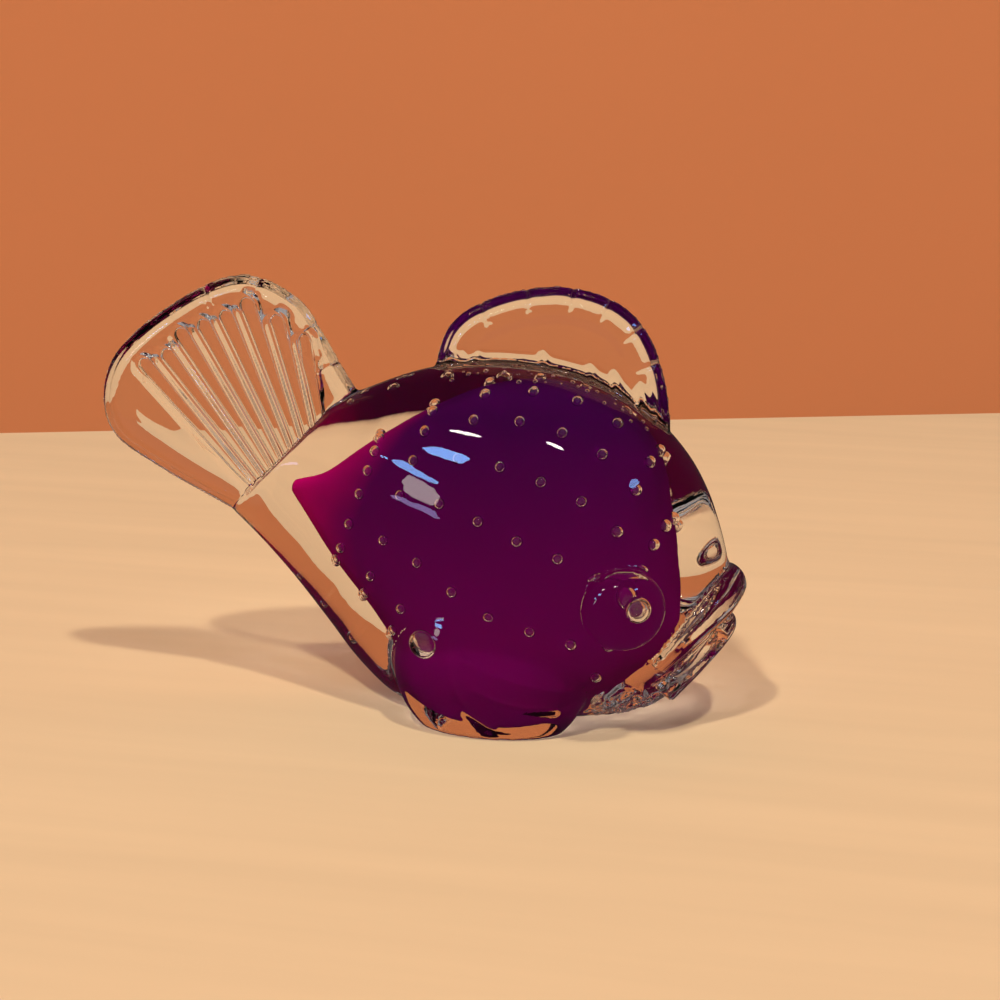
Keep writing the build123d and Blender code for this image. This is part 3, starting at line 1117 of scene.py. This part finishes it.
class GLASSFISH_OT_bubbles(bpy.types.Operator):
    """Trap the air bubbles: rings round the core, pupils in the eyes and one under each side fin"""

    bl_idname = "glass_fish.bubbles"
    bl_label = "Bubbles"

    def execute(self, context):
        air = air_material(context.scene.glass_fish_glass)
        casing = blank_named("casing_glass")
        radius = context.scene.glass_fish_shape.bubble_radius
        bm = bmesh.new()
        for ring in BUBBLE_RINGS:
            centre, up, half_height, half_width = station(CORE_STATION_SHARES[ring])
            for number in range(BUBBLES_PER_RING):
                angle = 2 * pi * (number + 0.5) / BUBBLES_PER_RING
                spot = full_below(Vector((cos(angle), sin(angle), 0.0)))
                point = centre + up * (half_height * spot.y) + SIDE * (half_width * spot.x)
                if not in_lobe(point):
                    ball(bm, Matrix.Translation(point), BUBBLE_GRID, radius)
        self.keep(bm, "core_bubbles", air)
        self.keep(self.seeds(tree_of(casing)), "seed_bubbles", air)
        for side, word in HANDS:
            seat, out = flank(casing, EYE_PLACE_SHARES, side)
            forward = UP.cross(out).normalized()
            forward = forward if forward.x > 0 else -forward
            bm = bmesh.new()
            ball(bm, Matrix.Translation(seat + forward * PUPIL_FORWARD), BEAD_GRID, PUPIL_RADIUS)
            self.keep(bm, f"pupil_{word}", air)
            seat, out = flank(casing, SEAT_BUBBLE_SHARES, side)
            bm = bmesh.new()
            ball(bm, flattened(seat, out, SEAT_BUBBLE_RADIUS, SEAT_BUBBLE_HEIGHT), BEAD_GRID)
            self.keep(bm, f"seat_bubble_{word}", air)
        return {"FINISHED"}

    def seeds(self, casing_tree):
        """Blank of the small bubbles along the weld of the back fin."""
        first, last = SEED_LINE_SHARES
        deeper, depth_turn = SEED_DEPTH_WAVE
        larger, radius_turn = SEED_RADIUS_WAVE
        bm = bmesh.new()
        for number in range(SEED_COUNT):
            turn = number * SEED_TURN
            share = first + (last - first) * number / (SEED_COUNT - 1)
            top = casing_tree.ray_cast(place((share, 1.0), SEED_SPREAD * sin(turn)), -UP)[0]
            point = top - UP * (SEED_DEPTH * (1.0 + deeper * cos(turn * depth_turn)))
            radius = SEED_RADIUS * (1.0 + larger * sin(turn * radius_turn))
            ball(bm, Matrix.Translation(point), SEED_GRID, radius)
        return bm

    def keep(self, bm, name, air):
        """Finishes one bubble piece."""
        for face in bm.faces:
            face.smooth = True
        made = finished(bm, name)
        made.data.materials.append(air)
        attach(made, "root")


class GLASSFISH_OT_fuse(bpy.types.Operator):
    """Melt the clear pieces together and part the skin again at the welds"""

    bl_idname = "glass_fish.fuse"
    bl_label = "Fuse the glass"

    def execute(self, context):
        shape = context.scene.glass_fish_shape
        size = shape.melt_size * 1.0
        blanks = [blank_named(f"{node}_glass") for node, slot in CLEAR_PIECES]
        skin = melt(blanks, size)
        owners = share_out(skin, blanks)
        skin = smoothed(skin, owners)
        bm = bmesh.new()
        bm.from_mesh(skin)
        owner, weld = bm.faces.layers.int["owner"], bm.verts.layers.float["weld"]
        tidy_owners(bm, owner)
        press_marks(bm, owner, weld, shape.tail_rib_count, tree_of(blanks[0]))
        part_skin(bm, blanks, clear_glass(context.scene.glass_fish_glass), weld_material())
        bm.free()
        bpy.data.meshes.remove(skin)
        for blank, (node, slot) in zip(blanks, CLEAR_PIECES):
            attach(blank, "root")
            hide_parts(node)
        return {"FINISHED"}


class GLASSFISH_OT_core(bpy.types.Operator):
    """Model the amethyst core"""

    bl_idname = "glass_fish.core"
    bl_label = "Core"

    def execute(self, context):
        bm = body_blank(CORE_STATION_SHARES, full_below)
        for side in (-1, 1):
            cushion(bm, place(CORE_LOBE_CENTRE_SHARES, side * CORE_LOBE_SPREAD), CORE_LOBE_REACH)
        whole = finished(bm, "core_melting")
        add_remesh(whole, "melt", CORE_MELT_SIZE)
        add_smoothing(whole, "smooth", CORE_SMOOTHING)
        mesh = applied(whole)
        mesh.polygons.foreach_set("use_smooth", [True] * len(mesh.polygons))
        core = linked("core_glass", mesh)
        mesh.materials.append(amethyst_material(context.scene.glass_fish_glass))
        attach(core, "root")
        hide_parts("core")
        return {"FINISHED"}


CAMERA_TARGET = Vector((16.73, 0.0, 41.8)) * MM
CAMERA_LENS = 64.6
CAMERA_CLIP = 10.0 * MM
FLOOR_DROP = 0.04 * MM
WALL_EDGE = (Vector((-195.5, 202.0, 0.0)) * MM, Vector((130.1, 303.2, 0.0)) * MM)
STAGE_REACH = 2.0

# Soft light from all round: its colour, how bright it is, how bright it is seen through the glass,
# and the share of it that the glass mirrors
WORLD_COLOUR = (0.76, 0.70, 0.70, 1.0)
WORLD_LEVEL = 0.20
WORLD_CLEAR_LEVEL = 0.45
WORLD_GLOSS_SHARE = 0.2

# Ceiling lamps
LAMP_DISTANCE = 1.5
LAMP_SIZE = 0.09
LAMP_COLOUR = (1.0, 0.87, 0.70)
LAMP_WAYS = ((0.28, -0.33, 1.0), (-0.18, -0.61, 1.0))

# What the glass mirrors of the room: direction, length, width, turn, colour and brightness
WARM = (1.0, 0.93, 0.84)
COOL = (0.20, 0.45, 1.0)
DULL = (1.0, 0.86, 0.86)
LILAC = (0.50, 0.45, 1.0)
GLINTS = (
    ((-0.496, -0.588, 0.638), 0.25, 0.06, 26.0, WARM, 32.0),
    ((0.014, -0.657, 0.754), 0.20, 0.07, -21.0, WARM, 32.0),
    ((-0.593, -0.663, 0.456), 0.30, 0.085, 18.0, COOL, 20.0),
    ((-0.721, -0.633, 0.282), 0.24, 0.075, -14.0, COOL, 17.0),
    ((-0.714, -0.673, 0.190), 0.20, 0.15, -23.0, DULL, 6.0),
    ((-0.729, -0.677, 0.103), 0.27, 0.045, -8.0, LILAC, 6.0),
    ((0.695, -0.470, 0.544), 0.30, 0.12, 8.0, COOL, 12.0),
)


class GLASSFISH_OT_stage(bpy.types.Operator):
    """Set the floor, the wall, the lamps and the camera"""

    bl_idname = "glass_fish.stage"
    bl_label = "Stage"

    def execute(self, context):
        stage = context.scene.glass_fish_stage
        self.floor(stage)
        self.wall(stage)
        self.lamps(stage)
        self.world(context)
        self.camera(context, stage)
        context.scene.view_settings.view_transform = "Standard"
        return {"FINISHED"}

    def floor(self, stage):
        """Pale floor with faint streaks."""
        bm = bmesh.new()
        matrix = Matrix.Translation((0, 0, -FLOOR_DROP))
        bmesh.ops.create_grid(bm, x_segments=1, y_segments=1, size=STAGE_REACH, matrix=matrix)
        floor = finished(bm, "floor")
        floor.data.materials.append(plain_material("floor", stage.floor_colour, FLOOR_GRAIN))
        floor.visible_glossy = False

    def wall(self, stage):
        """Pale wall behind the floor, seen from its front only."""
        left, right = WALL_EDGE
        way = (right - left).normalized()
        matrix = frame_at(left - UP * FLOOR_DROP, way, UP)
        bm = bmesh.new()
        bmesh.ops.create_grid(bm, x_segments=1, y_segments=1, size=STAGE_REACH)
        bmesh.ops.translate(bm, verts=bm.verts, vec=(0, STAGE_REACH, 0))
        bmesh.ops.transform(bm, matrix=matrix, verts=bm.verts)
        wall = linked("wall", mesh_of(bm, "wall"))
        wall.data.materials.append(plain_material("wall", stage.wall_colour, WALL_GRAIN, one_sided=True))
        wall.visible_glossy = False

    def lamps(self, stage):
        """Two small ceiling lamps, and what the glass mirrors of them and of a cool window."""
        for number, way in enumerate(LAMP_WAYS):
            lamp = self.lamp(f"lamp_{number}", way, 0.0)
            lamp.data.shape = "DISK"
            lamp.data.size = LAMP_SIZE
            lamp.data.energy = stage.lamp_strength
            lamp.data.color = LAMP_COLOUR
            lamp.visible_glossy = False
        for number, (way, length, width, turn_deg, colour, brightness) in enumerate(GLINTS):
            lamp = self.lamp(f"glint_{number}", way, turn_deg)
            lamp.data.shape = "ELLIPSE"
            lamp.data.size = length
            lamp.data.size_y = width
            lamp.data.energy = brightness * pi * (pi * length * width / 4)
            lamp.data.color = colour
            lamp.visible_diffuse = False
            lamp.visible_transmission = False

    def lamp(self, name, way, turn_deg):
        """Area lamp that lies that way from the fish and faces it, turned about its own axis."""
        way = Vector(way)
        lamp = linked(name, bpy.data.lights.new(name, "AREA"))
        lamp.location = CAMERA_TARGET + way.normalized() * LAMP_DISTANCE
        lamp.rotation_mode = "QUATERNION"
        lamp.rotation_quaternion = way.to_track_quat("Z", "Y") @ Quaternion((0, 0, 1), radians(turn_deg))
        return lamp

    def world(self, context):
        """Soft warm light from all round."""
        world = bpy.data.worlds.new("room")
        world.use_nodes = True
        tree = world.node_tree
        add = node_maker(tree)
        path = add("LightPath")
        through = (path, "Is Transmission Ray")
        mirrored = add("Math", (path, "Is Glossy Ray"), through, operation="SUBTRACT")
        mirrored.use_clamp = True
        level = add("MapRange", through, To_Min=WORLD_LEVEL, To_Max=WORLD_CLEAR_LEVEL)
        gloss = add("MapRange", (mirrored, 0), To_Min=1.0, To_Max=WORLD_GLOSS_SHARE)
        strength = add("Math", (level, 0), (gloss, 0), operation="MULTIPLY")
        back = tree.nodes["Background"]
        feed(back, "Color", WORLD_COLOUR)
        feed(back, "Strength", (strength, 0))
        context.scene.world = world

    def camera(self, context, stage):
        """Camera at the photograph's angle."""
        data = bpy.data.cameras.new("camera")
        data.lens = CAMERA_LENS
        data.clip_start = CAMERA_CLIP
        camera = linked("camera", data)
        turn, rise = stage.camera_azimuth, stage.camera_elevation
        back = Vector((sin(turn) * cos(rise), -cos(turn) * cos(rise), sin(rise)))
        camera.location = CAMERA_TARGET + back * stage.camera_distance
        camera.rotation_mode = "QUATERNION"
        camera.rotation_quaternion = back.to_track_quat("Z", "Y")
        context.scene.camera = camera


ORDER = (
    GLASSFISH_OT_casing,
    GLASSFISH_OT_tail_fin,
    GLASSFISH_OT_dorsal_fin,
    GLASSFISH_OT_side_fins,
    GLASSFISH_OT_eyes,
    GLASSFISH_OT_lips,
    GLASSFISH_OT_bubbles,
    GLASSFISH_OT_fuse,
    GLASSFISH_OT_core,
    GLASSFISH_OT_stage,
)


class GLASSFISH_PT_panel(bpy.types.Panel):
    """Steps of the glass fish, in order"""

    bl_idname = "GLASSFISH_PT_panel"
    bl_label = "Glass fish"
    bl_space_type = "VIEW_3D"
    bl_region_type = "UI"
    bl_category = "Glass fish"

    def draw(self, context):
        column = self.layout.column()
        for group in SETTINGS:
            settings = getattr(context.scene, group)
            for name in settings.bl_rna.properties.keys():
                if name not in ("rna_type", "name"):
                    column.prop(settings, name)
        for step in ORDER:
            column.operator(step.bl_idname)


SETTINGS = {
    "glass_fish_shape": ShapeSettings,
    "glass_fish_glass": GlassSettings,
    "glass_fish_stage": StageSettings,
}
CLASSES = (*SETTINGS.values(), *ORDER, GLASSFISH_PT_panel)


def register():
    """Registers the classes and their settings."""
    for item in CLASSES:
        bpy.utils.register_class(item)
    for name, kind in SETTINGS.items():
        setattr(bpy.types.Scene, name, bpy.props.PointerProperty(type=kind))


def unregister():
    """Takes the classes and their settings away."""
    for name in SETTINGS:
        delattr(bpy.types.Scene, name)
    for item in reversed(CLASSES):
        bpy.utils.unregister_class(item)


def main():
    """Builds the fish and its stage."""
    register()
    for step in ORDER:
        group, name = step.bl_idname.split(".")
        getattr(getattr(bpy.ops, group), name)()


if __name__ == "__main__":
    main()
